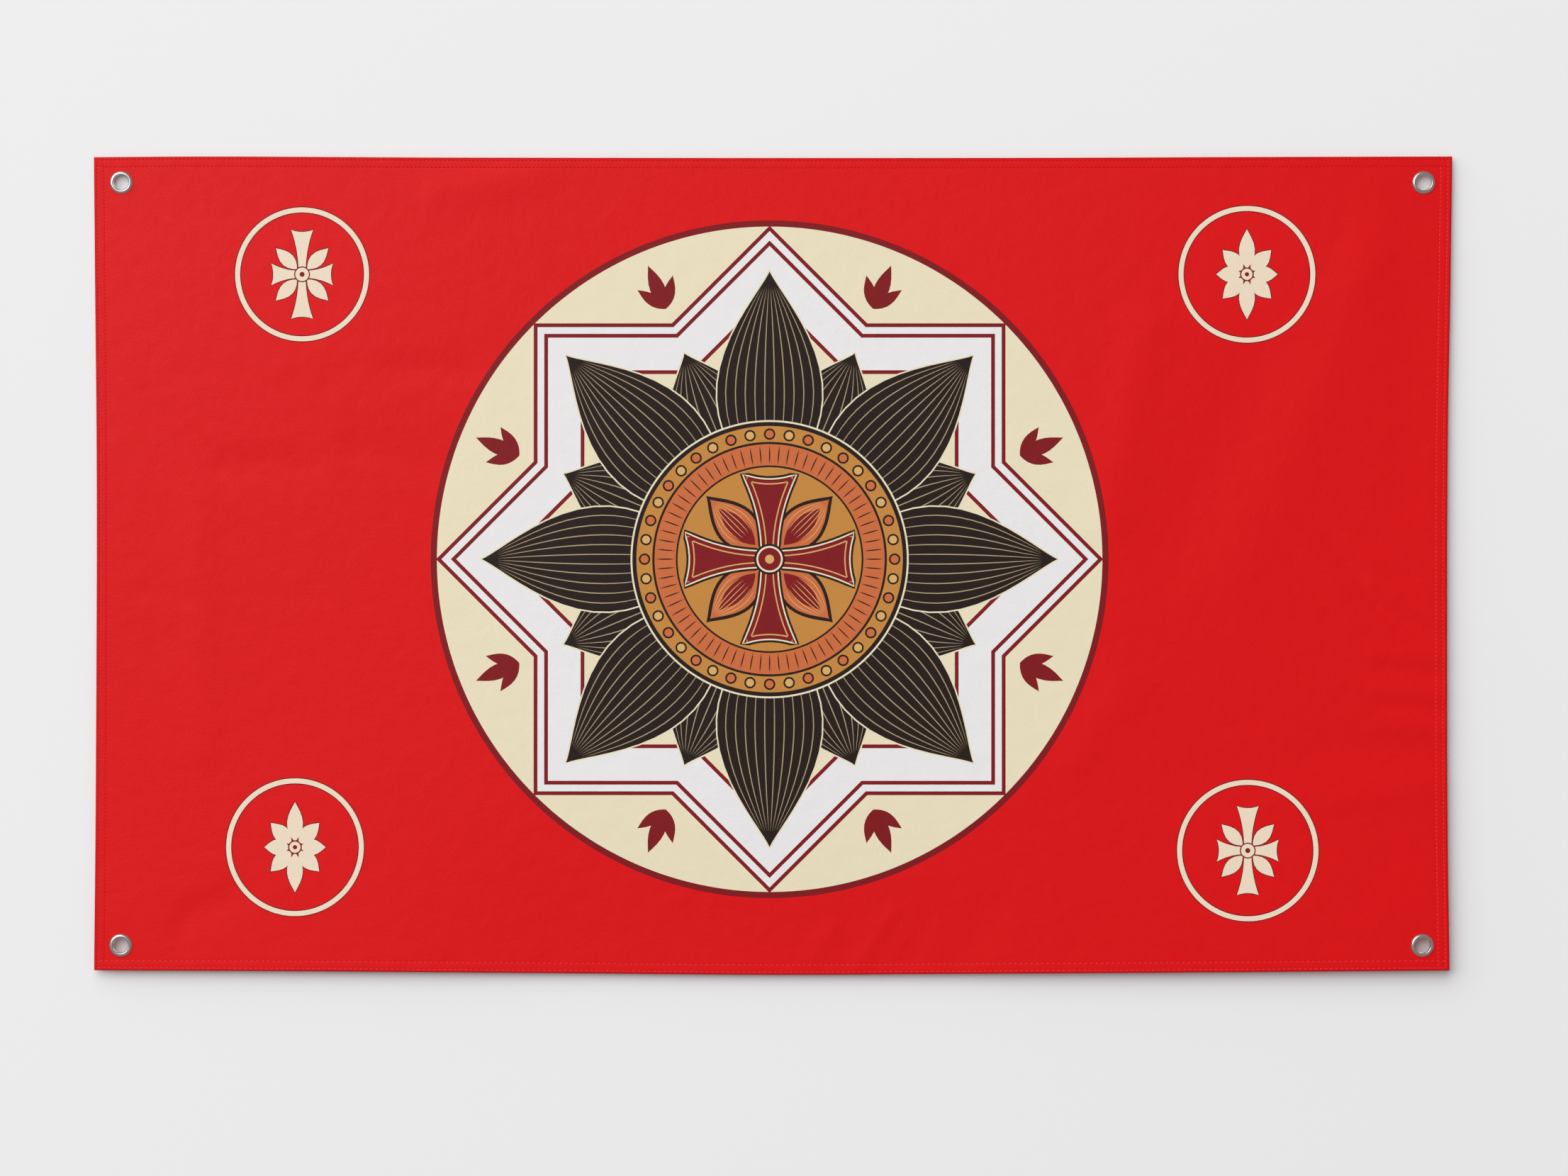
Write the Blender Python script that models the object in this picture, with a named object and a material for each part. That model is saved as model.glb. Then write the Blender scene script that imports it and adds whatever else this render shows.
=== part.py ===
"""Cloth flag hung flat against a wall: one hemmed panel with four two-part eyelets at its corners.

Metres, +Z up. The front faces -Y and the wall is the plane y = 0. The origin is on the wall, at the
middle of the flag's top edge.
"""

import math

import bmesh
import bpy
import numpy as np

MM = 0.001

# Driving sizes
FLAG_WIDTH = 1500 * MM
FLAG_HEIGHT = 900 * MM
CLOTH_THICKNESS = 1.2 * MM
HEM_THICKNESS = 2.0 * MM
HEM_WIDTH = 12.6 * MM
HEM_STEP = 0.6 * MM
EYELET_CELL = 46 * MM
GAP = 0.3 * MM

# Eyelet sizes: radii, and heights in front of the cloth
BORE_RADIUS = 8.0 * MM
BARREL_WALL = 0.5 * MM
FLANGE_RADIUS = 12.5 * MM
CROWN_HEIGHT = 1.9 * MM
ROLL_RADIUS = 10.4 * MM
ROLL_DEPTH = 0.8 * MM
WASHER_RADIUS = 12.0 * MM
WASHER_THICKNESS = 0.6 * MM
RING_STEPS = 24
CROWN_STEPS = 6
ROLL_STEPS = 4
CUTTER_LENGTH = 40 * MM
SHARP_ANGLE = math.radians(50)

# How far the cloth's front stands from the wall at each corner
CORNER_STAND = {
    "top_left": 5.0 * MM,
    "top_right": 6.6 * MM,
    "bottom_left": 9.4 * MM,
    "bottom_right": 12.8 * MM,
}

# Edge tables: share along the edge, then how far it leaves the true rectangle, in mm
# The top and bottom edges run from left to right, and a plus is higher or lower
TOP_RISE = ((0, -0.4), (0.05, 0.2), (0.26, -0.8), (0.55, -1.3), (0.71, -1.1), (0.84, -0.3), (1, 0.3))
BOTTOM_DROP = ((0, -1.9), (0.18, -0.6), (0.34, 1.3), (0.5, 3.1), (0.66, 1.8), (0.82, 0.2), (1, -1.9))
# The left and right edges run from top to bottom, and a plus is further in
LEFT_INSET = ((0, 0.0), (0.19, 1.7), (0.3, 2.8), (0.45, 3.5), (0.61, 3.2), (0.87, 2.0), (1, 0.8))
RIGHT_INSET = ((0, 0.0), (0.19, 2.7), (0.3, 4.7), (0.45, 6.0), (0.6, 6.3), (0.87, 5.5), (1, 3.8))

# Where the eyelets sit: corner, mm in from the side edge, mm in from the top or bottom edge
EYELETS = (
    ("top_left", 30.0, 28.2),
    ("top_right", 31.2, 28.8),
    ("bottom_left", 29.2, 27.9),
    ("bottom_right", 29.8, 28.1),
)

# Soft folds: name, start x and z, end x and z, half width, height towards the front, all in mm
FOLDS = (
    ("left_level_crease", -600, -340, -520, -340, 20, -0.6),
    ("left_upright", -634, -380, -630, -650, 20, 0.5),
    ("top_ridge", -372, -40, -262, -22, 18, 0.7),
    ("left_roundel_trough_high", -412, -234, -340, -234, 18, -0.6),
    ("left_roundel_trough_low", -460, -322, -372, -342, 18, -0.6),
    ("roundel_ridge", 412, -190, 370, -400, 26, 0.9),
    ("roundel_trough", 540, -225, 440, -430, 45, -0.9),
    ("right_ridge", 655, -150, 520, -450, 42, 0.8),
    ("corner_pull", 682, -52, 642, -140, 26, 0.8),
    ("side_trough", 708, -150, 700, -380, 22, -0.5),
    ("lower_roundel_ridge", 385, -590, 330, -670, 24, 0.7),
    ("level_trough", 610, -650, 738, -658, 20, -0.7),
    ("level_ridge", 560, -712, 712, -704, 18, 0.6),
    ("bottom_trough", 205, -885, 240, -835, 20, -0.5),
    ("bottom_middle", -200, -905, 120, -905, 140, -2.6),
    ("corner_arc", -648, -842, -598, -818, 18, -0.7),
)

# Grid stretches between the eyelet cells: share of the width or height where each ends, cells in it
COLUMN_STRETCHES = ((0.13, 7), (0.33, 9), (0.7, 11), (None, 18))
ROW_STRETCHES = ((None, 24),)

# Where the cloth lies flat around an eyelet, and where it is free again
CALM_RADIUS = 26 * MM
FREE_RADIUS = 90 * MM

# Finishes: base colour, roughness, metallic
CLOTH_FINISH = ((0.66, 0.014, 0.016, 1.0), 0.72, 0.0)
NICKEL_FINISH = ((0.72, 0.70, 0.67, 1.0), 0.28, 1.0)


def along(table, shares):
    """Smooth curve through a table's rows, read at each share of the edge and given in metres."""
    places, values = np.array(table, float).T
    slopes = np.gradient(values, places)
    row = np.clip(np.searchsorted(places, shares) - 1, 0, len(places) - 2)
    step = places[row + 1] - places[row]
    t = (shares - places[row]) / step
    start = (1 + 2 * t) * (1 - t) ** 2 * values[row] + t * (1 - t) ** 2 * step * slopes[row]
    end = t * t * (3 - 2 * t) * values[row + 1] + t * t * (t - 1) * step * slopes[row + 1]
    return (start + end) * MM


def eased(low, high, value):
    """0 below low, 1 above high, and a smooth rise between them."""
    t = np.clip((value - low) / (high - low), 0, 1)
    return t * t * (3 - 2 * t)


def outline_point(u, v):
    """x and z of the cloth at share u of its width and share v of its height, with its four bowed edges."""
    left = -FLAG_WIDTH / 2 + along(LEFT_INSET, v)
    right = FLAG_WIDTH / 2 - along(RIGHT_INSET, v)
    top = along(TOP_RISE, u)
    bottom = -FLAG_HEIGHT - along(BOTTOM_DROP, u)
    return left + (right - left) * u, top + (bottom - top) * v


def plain_stand(u, v):
    """Distance from the wall with no folds, spread evenly between the four corners."""
    top = CORNER_STAND["top_left"] * (1 - u) + CORNER_STAND["top_right"] * u
    bottom = CORNER_STAND["bottom_left"] * (1 - u) + CORNER_STAND["bottom_right"] * u
    return top * (1 - v) + bottom * v


def fold_height(x, z):
    """Sum of the soft folds at x, z: each is a bell across its line and fades past its ends."""
    height = np.zeros_like(x)
    for _, x_start, z_start, x_end, z_end, half_width, rise in FOLDS:
        run_x = (x_end - x_start) * MM
        run_z = (z_end - z_start) * MM
        from_x = x - x_start * MM
        from_z = z - z_start * MM
        t = np.clip((from_x * run_x + from_z * run_z) / (run_x**2 + run_z**2), 0, 1)
        away = np.hypot(from_x - t * run_x, from_z - t * run_z)
        height += rise * MM * np.exp(-((away / (half_width * MM)) ** 2))
    return height


def eyelet_places():
    """Each eyelet's corner name and the centre of its hole on the cloth's front."""
    places = []
    for corner, side_inset, end_inset in EYELETS:
        u = side_inset * MM / FLAG_WIDTH
        v = end_inset * MM / FLAG_HEIGHT
        if "right" in corner:
            u = 1 - u
        if "bottom" in corner:
            v = 1 - v
        x, z = outline_point(np.array(u), np.array(v))
        places.append((corner, (float(x), -float(plain_stand(u, v)), float(z))))
    return places


def cloth_stand(u, v, x, z):
    """Distance of the cloth's front from the wall, with its folds, and flat around each eyelet."""
    stand = plain_stand(u, v) + fold_height(x, z)
    for _, (eyelet_x, eyelet_y, eyelet_z) in eyelet_places():
        away = np.hypot(x - eyelet_x, z - eyelet_z)
        stand = -eyelet_y + (stand + eyelet_y) * eased(CALM_RADIUS, FREE_RADIUS, away)
    return stand


def grid_lines(length, stretches):
    """Shares of a side where the grid has a line: the hem, its step, the eyelet cell, then the stretches."""
    edge = np.array([0, HEM_WIDTH, HEM_WIDTH + HEM_STEP, EYELET_CELL]) / length
    lines = list(edge)
    for end, cells in stretches:
        last = 1 - edge[-1] if end is None else end
        lines += list(np.linspace(lines[-1], last, cells + 1)[1:])
    return np.array(lines + list(1 - edge[-2::-1]))


def finish(name, colour, roughness, metallic):
    """A Principled material for one piece."""
    material = bpy.data.materials.new(name)
    material.use_nodes = True
    shader = material.node_tree.nodes["Principled BSDF"]
    shader.inputs["Base Color"].default_value = colour
    shader.inputs["Roughness"].default_value = roughness
    shader.inputs["Metallic"].default_value = metallic
    return material


def add_object(name, mesh):
    """Links a new object that holds the mesh."""
    obj = bpy.data.objects.new(name, mesh)
    bpy.context.collection.objects.link(obj)
    return obj


def mesh_of(name, shape):
    """Turns a bmesh into a mesh and frees it."""
    mesh = bpy.data.meshes.new(name)
    shape.to_mesh(mesh)
    shape.free()
    return mesh


def make_cloth():
    """The panel: a grid on the cloth's front, thickened to the back, more at the hem than in the field.

    The grid's first two lines from each edge bound the hem, so they carry its thickness.
    """
    across = grid_lines(FLAG_WIDTH, COLUMN_STRETCHES)
    down = grid_lines(FLAG_HEIGHT, ROW_STRETCHES)
    columns = len(across) - 1
    rows = len(down) - 1
    shape = bmesh.new()
    bmesh.ops.create_grid(shape, x_segments=columns, y_segments=rows, size=1)
    hem = []
    for vertex in shape.verts:
        column = round((vertex.co.x + 1) / 2 * columns)
        row = round((1 - vertex.co.y) / 2 * rows)
        u = across[column]
        v = down[row]
        x, z = outline_point(u, v)
        vertex.co = (x, -cloth_stand(u, v, x, z), z)
        on_hem = min(column, columns - column, row, rows - row) <= 1
        if on_hem:
            hem.append(vertex.index)
    cloth = add_object("flag_cloth", mesh_of("flag_cloth", shape))
    cloth.vertex_groups.new(name="hem").add(hem, 1.0, "REPLACE")
    cloth.data.materials.append(finish("printed_polyester", *CLOTH_FINISH))
    thicken = cloth.modifiers.new("thickness", "SOLIDIFY")
    thicken.thickness = HEM_THICKNESS
    thicken.offset = -1
    thicken.vertex_group = "hem"
    thicken.thickness_vertex_group = CLOTH_THICKNESS / HEM_THICKNESS
    return cloth


def cut_eyelet_holes(cloth):
    """Cuts a round hole through the cloth for each eyelet's barrel."""
    shape = bmesh.new()
    hole_radius = BORE_RADIUS + BARREL_WALL + GAP
    for _, centre in eyelet_places():
        made = bmesh.ops.create_cone(
            shape,
            cap_ends=True,
            segments=RING_STEPS,
            radius1=hole_radius,
            radius2=hole_radius,
            depth=CUTTER_LENGTH,
        )
        for vertex in made["verts"]:
            x, y, z = vertex.co
            vertex.co = (centre[0] + x, centre[1] - z, centre[2] + y)
    cutter = add_object("eyelet_hole_cutter", mesh_of("eyelet_hole_cutter", shape))
    cutter.hide_render = True
    cutter.display_type = "WIRE"
    holes = cloth.modifiers.new("eyelet_holes", "BOOLEAN")
    holes.operation = "DIFFERENCE"
    holes.solver = "EXACT"
    holes.object = cutter


def half_ellipse(inner, outer, base, rise, steps):
    """Profile points from the outer radius over to the inner one, as radius and height."""
    middle = (outer + inner) / 2
    reach = (outer - inner) / 2
    turns = [math.pi * step / steps for step in range(steps + 1)]
    return [(middle + reach * math.cos(turn), base + rise * math.sin(turn)) for turn in turns]


def eyelet_profile():
    """Closed section of an eyelet: crown, bore, rolled rim behind the washer, and the barrel's outside."""
    back = -(CLOTH_THICKNESS + GAP + WASHER_THICKNESS + GAP)
    crown = half_ellipse(BORE_RADIUS, FLANGE_RADIUS, GAP, CROWN_HEIGHT, CROWN_STEPS)
    roll = half_ellipse(BORE_RADIUS, ROLL_RADIUS, back, -ROLL_DEPTH, ROLL_STEPS)
    barrel = BORE_RADIUS + BARREL_WALL
    return crown + roll[::-1] + [(barrel, back), (barrel, GAP)]


def washer_profile():
    """Closed section of a washer: a flat ring behind the cloth, round the barrel."""
    front = -(CLOTH_THICKNESS + GAP)
    back = front - WASHER_THICKNESS
    inner = BORE_RADIUS + BARREL_WALL + GAP
    return [(inner, front), (inner, back), (WASHER_RADIUS, back), (WASHER_RADIUS, front)]


def turned_ring(name, profile):
    """Mesh of a closed profile of radius and height, turned once round its axis."""
    shape = bmesh.new()
    points = [shape.verts.new((radius, 0, height)) for radius, height in profile]
    edges = [shape.edges.new((points[i - 1], points[i])) for i in range(len(points))]
    bmesh.ops.spin(
        shape,
        geom=points + edges,
        cent=(0, 0, 0),
        axis=(0, 0, 1),
        angle=2 * math.pi,
        steps=RING_STEPS,
        use_merge=True,
    )
    bmesh.ops.recalc_face_normals(shape, faces=shape.faces)
    mesh = mesh_of(name, shape)
    mesh.shade_smooth()
    mesh.set_sharp_from_angle(angle=SHARP_ANGLE)
    return mesh


def make_eyelets():
    """Four eyelets and four washers, each set on the cloth with its axis straight out from the wall."""
    nickel = finish("nickelled_brass", *NICKEL_FINISH)
    for kind, profile in (("eyelet", eyelet_profile()), ("washer", washer_profile())):
        mesh = turned_ring(kind, profile)
        mesh.materials.append(nickel)
        for corner, centre in eyelet_places():
            ring = add_object(f"{kind}_{corner}", mesh)
            ring.location = centre
            ring.rotation_euler = (math.pi / 2, 0, 0)


def main():
    for obj in list(bpy.data.objects):
        bpy.data.objects.remove(obj)
    cloth = make_cloth()
    cut_eyelet_holes(cloth)
    make_eyelets()


main()
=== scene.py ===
"""Looks of a printed cloth flag that hangs on a wall by four eyelets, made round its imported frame.

Metres, +Z up. The front faces -Y, the wall is the plane y = 0, and the origin is on the wall at the
middle of the flag's top edge. The cloth's plan is in millimetres: across from its left edge and up
from its top edge, so that a point further down has a more negative second number. The print's own
shapes are in millimetres too, as x and z of the hung flag.
"""

import math

import bpy
import numpy as np
from mathutils.geometry import delaunay_2d_cdt
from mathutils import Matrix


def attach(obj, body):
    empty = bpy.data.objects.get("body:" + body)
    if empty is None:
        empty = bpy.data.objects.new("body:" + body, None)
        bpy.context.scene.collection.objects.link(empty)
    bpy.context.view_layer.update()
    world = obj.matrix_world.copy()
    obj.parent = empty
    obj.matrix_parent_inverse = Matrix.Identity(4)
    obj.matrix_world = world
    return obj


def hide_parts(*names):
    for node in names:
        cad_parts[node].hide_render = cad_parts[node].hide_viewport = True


bl_info = {
    "name": "Printed cloth flag",
    "version": (1, 0, 0),
    "blender": (4, 5, 0),
    "location": "3D View > Sidebar > Cloth flag",
    "description": "Makes a hemmed, printed cloth flag with its eyelets round a packed frame",
    "category": "Add Mesh",
}

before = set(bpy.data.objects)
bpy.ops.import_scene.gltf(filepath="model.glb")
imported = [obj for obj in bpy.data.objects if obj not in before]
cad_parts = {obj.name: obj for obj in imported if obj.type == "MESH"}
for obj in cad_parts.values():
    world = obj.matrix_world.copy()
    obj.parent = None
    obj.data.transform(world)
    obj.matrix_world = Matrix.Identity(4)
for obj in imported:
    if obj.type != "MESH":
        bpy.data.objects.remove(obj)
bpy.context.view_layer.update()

MM = 0.001
PLAN_UV = "cloth_plan"
TURNED_UV = "turned_metal"

# Cloth's plan, in mm, as the frame has it
FLAG_WIDTH = 1500
FLAG_HEIGHT = 900

# How far the cloth's front stands from the wall at each corner, in mm
CORNER_STAND = {"top_left": 5.0, "top_right": 6.6, "bottom_left": 9.4, "bottom_right": 12.8}

# Edge tables: share along the edge, then how far it leaves the true rectangle, in mm
# The top and bottom edges run from left to right, and a plus is higher or lower
TOP_RISE = ((0, -0.4), (0.05, 0.2), (0.26, -0.8), (0.55, -1.3), (0.71, -1.1), (0.84, -0.3), (1, 0.3))
BOTTOM_DROP = ((0, -1.9), (0.18, -0.6), (0.34, 1.3), (0.5, 3.1), (0.66, 1.8), (0.82, 0.2), (1, -1.9))
# The left and right edges run from top to bottom, and a plus is further in
LEFT_INSET = ((0, 0.0), (0.19, 1.7), (0.3, 2.8), (0.45, 3.5), (0.61, 3.2), (0.87, 2.0), (1, 0.8))
RIGHT_INSET = ((0, 0.0), (0.19, 2.7), (0.3, 4.7), (0.45, 6.0), (0.6, 6.3), (0.87, 5.5), (1, 3.8))

# Where the eyelets sit: corner, mm in from the side edge, mm in from the top or bottom edge
EYELETS = (
    ("top_left", 30.0, 28.2),
    ("top_right", 31.2, 28.8),
    ("bottom_left", 29.2, 27.9),
    ("bottom_right", 29.8, 28.1),
)

# Soft folds, as the solid has them: start x and z, end x and z, half width, height towards the front,
# all in mm
FOLDS = (
    (-600, -340, -520, -340, 20, -0.6),
    (-634, -380, -630, -650, 20, 0.5),
    (-372, -40, -262, -22, 18, 0.7),
    (-412, -234, -340, -234, 18, -0.6),
    (-460, -322, -372, -342, 18, -0.6),
    (412, -190, 370, -400, 26, 0.9),
    (540, -225, 440, -430, 45, -0.9),
    (655, -150, 520, -450, 42, 0.8),
    (682, -52, 642, -140, 26, 0.8),
    (708, -150, 700, -380, 22, -0.5),
    (385, -590, 330, -670, 24, 0.7),
    (610, -650, 738, -658, 20, -0.7),
    (560, -712, 712, -704, 18, 0.6),
    (205, -885, 240, -835, 20, -0.5),
    (-200, -905, 120, -905, 140, -2.6),
    (-648, -842, -598, -818, 18, -0.7),
)
# Fine wrinkles that lie on them, too small for the solid
FINE_FOLDS = (
    (-690, -258, -612, -348, 8, -0.4),
    (-664, -262, -596, -330, 10, 0.2),
    (-660, -868, -648, -842, 9, -0.35),
    (-642, -852, -612, -830, 5, 0.18),
    (-640, -60, -560, -80, 16, -0.2),
    (-560, -232, -500, -226, 14, 0.22),
    (-480, -272, -410, -262, 14, 0.2),
    (95, -892, 132, -836, 9, 0.4),
    (40, -892, 66, -850, 9, 0.3),
    (150, -880, 172, -842, 9, -0.22),
    (325, -884, 350, -836, 10, -0.24),
    (430, -170, 512, -206, 14, 0.2),
    (540, -402, 604, -484, 7, -0.34),
    (560, -392, 632, -480, 7, 0.3),
    (612, -424, 664, -492, 6, -0.4),
    (634, -420, 686, -482, 6, 0.38),
    (655, -412, 706, -466, 6, -0.36),
    (660, -470, 738, -512, 8, 0.4),
    (668, -496, 741, -530, 7, -0.42),
    (664, -548, 741, -552, 8, 0.34),
    (676, -566, 741, -572, 7, -0.38),
    (664, -588, 741, -592, 8, 0.36),
    (670, -606, 741, -612, 7, -0.42),
    (664, -630, 741, -634, 9, 0.34),
    (636, -728, 704, -714, 7, -0.34),
    (480, -628, 540, -622, 12, -0.24),
    (448, -684, 496, -676, 12, -0.24),
    (560, -820, 640, -852, 14, 0.2),
    (-700, -476, -640, -490, 8, -0.2),
    (-694, -388, -668, -410, 8, -0.26),
    (-690, -520, -676, -560, 8, -0.2),
    (-668, -560, -650, -660, 12, 0.16),
)

# Round each eyelet, in mm: the hole in the cloth, the share of its radius within which a triangle's middle
# is taken out, how far apart its edge's points are, the rings of points outside it and their own step,
# then where the cloth lies flat and where it is free again
HOLE_RADIUS = 8.8
HOLE_SHARE = 0.9877
HOLE_STEP = 1.9
HOLE_RINGS = (9.6, 12, 15)
HOLE_RING_STEP = 2.6
CALM_RADIUS = 26
FREE_RADIUS = 90

# Hem rows: side, mm in from the edge, where the row starts and ends from the side's two corners, and
# its stitch pitch. The top and bottom rows run from left to right, the side rows from top to bottom
STITCH_ROWS = (
    ("top", 3.0, 2.5, 2.5, 4.5),
    ("top", 11.0, 11.0, 5.0, 4.5),
    ("left", 3.0, 3.5, 2.5, 4.0),
    ("left", 11.0, 9.5, 5.0, 4.0),
    ("right", 4.5, 2.5, 3.0, 4.6),
    ("right", 12.6, 11.0, 4.0, 4.6),
    ("bottom", 3.0, 2.5, 52.0, 5.8),
    ("bottom", 3.0, 1448.5, 3.0, 3.0),
    ("bottom", 11.0, 4.5, 3.5, 6.0),
)
# Hem widths, in mm: the rows on the right run further in
HEM_WIDTHS = {"top": 12.6, "left": 12.6, "right": 14.2, "bottom": 12.6}

# Width of the band along the outer edge, in mm, painted a deeper red as shade of the rolled edge, and of
# its rounding
EDGE_WIDTH = 2.1
EDGE_ROUND = 0.7

# Mesh of the cloth, in mm: where the hem's own lines of points lie, and how far apart points are
HEM_LINES = (0, 0.25, 0.7, 2.1, 3.0, 3.9, 4.6, 5.6, 8.2, 10.1, 11.0, 11.9, 12.5, 13.1, 14.0, 14.6)
HEM_STEP = 6.0
FIELD_STEP = 9.0
FINE_STEP = 4.6
PRINT_STEP = 5.0
# Share of a step within which a lattice leaves out a point beside one that is already there
FIELD_CLEARANCE = 0.42
FINE_CLEARANCE = 0.55
# Where the cloth has finer points: lowest and highest x, lowest and highest z of the hung flag
FINE_ZONES = ((530, 728, -645, -385), (30, 180, -878, -828), (-705, -600, -360, -250))

# Print: the main roundel, then the corner rings with their centres and outer diameters
ROUNDEL_CENTRE = (-3.7, -444.4)
ROUNDEL_DIAMETER = 748
CORNER_RINGS = (
    (-519.9, -129.9, 149),
    (523.2, -129.9, 152),
    (-527.4, -762.2, 153),
    (523.7, -765.8, 157),
)


def screen_colour(red, green, blue):
    """Linear colour of an 8-bit screen colour, with full alpha."""
    shares = np.array([red, green, blue]) / 255
    linear = np.where(shares <= 0.04045, shares / 12.92, ((shares + 0.055) / 1.055) ** 2.4)
    return (*linear.tolist(), 1.0)


def size(name, description, millimetres):
    """A length that a user may change, given in mm and held in metres."""
    return bpy.props.FloatProperty(
        name=name, description=description, default=millimetres * MM, min=0, precision=5, unit="LENGTH"
    )


def colour(name, description, red, green, blue):
    """A colour that a user may change, given as an 8-bit screen colour."""
    return bpy.props.FloatVectorProperty(
        name=name,
        description=description,
        default=screen_colour(red, green, blue),
        size=4,
        min=0,
        max=1,
        subtype="COLOR",
    )


def amount(name, description, default):
    """A plain number that a user may change."""
    return bpy.props.FloatProperty(name=name, description=description, default=default, min=0)


class FlagClothSizes(bpy.types.PropertyGroup):
    """Sizes of the cloth and its hem."""

    field_thickness: size("Field thickness", "Thickness of the single cloth", 0.45)
    hem_thickness: size("Hem thickness", "What the turned hem adds behind the cloth", 0.75)
    groove_depth: size("Groove depth", "How deep a stitch row pulls the cloth in", 0.12)
    groove_width: size("Groove width", "Half width of the groove along a stitch row", 0.8)
    thread_pitch: size("Thread pitch", "Distance between neighbouring threads of the weave", 1.46)
    weave_relief: size("Weave relief", "Height of the threads over their gaps", 0.034)


class FlagStitchSizes(bpy.types.PropertyGroup):
    """Sizes of one hem stitch."""

    length: size("Stitch length", "Visible length of one stitch", 3.9)
    width: size("Stitch width", "Thickness of the sewing thread", 1.15)
    proud: size("Stitch height", "How far a stitch stands over its groove", 0.4)


class FlagEyeletSizes(bpy.types.PropertyGroup):
    """Sizes of an eyelet and its washer."""

    bore_radius: size("Bore radius", "Radius of the hole through an eyelet", 8.2)
    crown_radius: size("Crown radius", "Radius of the highest ring of an eyelet", 9.9)
    flange_radius: size("Flange radius", "Outer radius of an eyelet's flange", 12.75)
    crown_height: size("Crown height", "How far the crown stands over the cloth", 1.9)
    washer_radius: size("Washer radius", "Outer radius of the washer behind the cloth", 12.0)
    washer_thickness: size("Washer thickness", "Thickness of the washer", 0.6)


class FlagColours(bpy.types.PropertyGroup):
    """Colours of the print, the threads and the metal."""

    field_red: colour("Field red", "Red of the ground", 227, 9, 14)
    # Painted shade: a deeper red laid along the outer edge, where the rolled cloth darkens
    edge_red: colour("Edge red", "Deeper red of the folded outer edge", 206, 8, 13)
    rim_red: colour("Rim red", "Dark red of rims and outlines", 132, 22, 28)
    cream: colour("Cream", "Cream of the roundel", 243, 231, 198)
    ring_cream: colour("Ring cream", "Warmer cream of the corner rings", 247, 227, 201)
    white: colour("White", "White of the star's bands", 243, 241, 240)
    brown: colour("Brown", "Dark brown of the petals", 38, 26, 22)
    vein: colour("Vein", "Pale lines on the petals", 178, 158, 124)
    ochre: colour("Ochre", "Ochre of the medallion", 204, 140, 66)
    orange: colour("Orange", "Orange of the medallion", 211, 112, 64)
    tan: colour("Tan", "Pale ochre of the medallion", 226, 178, 108)
    # One red thread in two colours: painted shade on the top and left rows, painted light on the right and
    # bottom rows
    dark_thread: colour("Dark thread", "Sewing thread of the top and left rows", 203, 4, 9)
    light_thread: colour("Light thread", "Sewing thread of the right and bottom rows", 249, 57, 59)
    nickel: colour("Nickel", "Metal of the eyelets", 222, 214, 210)


class FlagStageSettings(bpy.types.PropertyGroup):
    """Wall, floor and light."""

    wall: colour("Wall", "Colour of the plain wall behind the flag", 249, 248, 248)
    floor: colour("Floor", "Colour of the plain floor", 226, 225, 223)
    key_power: amount("Key light", "Power of the wide light from the upper left, in watts", 12450)
    card_power: amount("Card light", "Power of the card that the metal mirrors, in watts", 250)
    rim_power: amount("Rim light", "Power of the dimmer card above the first one, in watts", 75)
    back_power: amount("Back light", "Power of the soft light behind the flag, in watts", 160)
    surround: amount("Surround light", "Strength of the even light from all sides", 0.26)
    camera_distance: size("Camera distance", "Distance from the camera to the wall", 5000)


def along(table, shares):
    """Smooth curve through a table's rows, read at each share of the edge and given in mm.

    Between two rows it is the cubic that meets both values with the table's own slopes.
    """
    places, values = np.array(table, float).T
    slopes = np.gradient(values, places)
    row = np.clip(np.searchsorted(places, shares) - 1, 0, len(places) - 2)
    step = places[row + 1] - places[row]
    t = (shares - places[row]) / step
    start = (1 + 2 * t) * (1 - t) ** 2 * values[row] + t * (1 - t) ** 2 * step * slopes[row]
    end = t * t * (3 - 2 * t) * values[row + 1] + t * t * (t - 1) * step * slopes[row + 1]
    return start + end


def eased(low, high, value):
    """0 below low, 1 above high, and a smooth rise between them."""
    t = np.clip((value - low) / (high - low), 0, 1)
    return t * t * (3 - 2 * t)


def outline_at(u, v):
    """Left, right, top and bottom edge of the hung cloth, in mm, at share u across and v down."""
    left = -FLAG_WIDTH / 2 + along(LEFT_INSET, v)
    right = FLAG_WIDTH / 2 - along(RIGHT_INSET, v)
    top = along(TOP_RISE, u)
    bottom = -FLAG_HEIGHT - along(BOTTOM_DROP, u)
    return left, right, top, bottom


def hung_point(plan):
    """x and z of the hung flag for points of the cloth's plan, spread between its four bowed edges."""
    u = plan[..., 0] / FLAG_WIDTH
    v = -plan[..., 1] / FLAG_HEIGHT
    left, right, top, bottom = outline_at(u, v)
    return np.stack([left + (right - left) * u, top + (bottom - top) * v], axis=-1)


def plan_point(hung):
    """The cloth's plan for points of the hung flag: hung_point turned round by a few corrections."""
    plan = hung + np.array([FLAG_WIDTH / 2, 0])
    for _ in range(5):
        plan = plan + hung - hung_point(plan)
    return plan


def plain_stand(plan):
    """Distance from the wall with no folds, spread evenly between the four corners."""
    u = plan[..., 0] / FLAG_WIDTH
    v = -plan[..., 1] / FLAG_HEIGHT
    top = CORNER_STAND["top_left"] * (1 - u) + CORNER_STAND["top_right"] * u
    bottom = CORNER_STAND["bottom_left"] * (1 - u) + CORNER_STAND["bottom_right"] * u
    return top * (1 - v) + bottom * v


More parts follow.
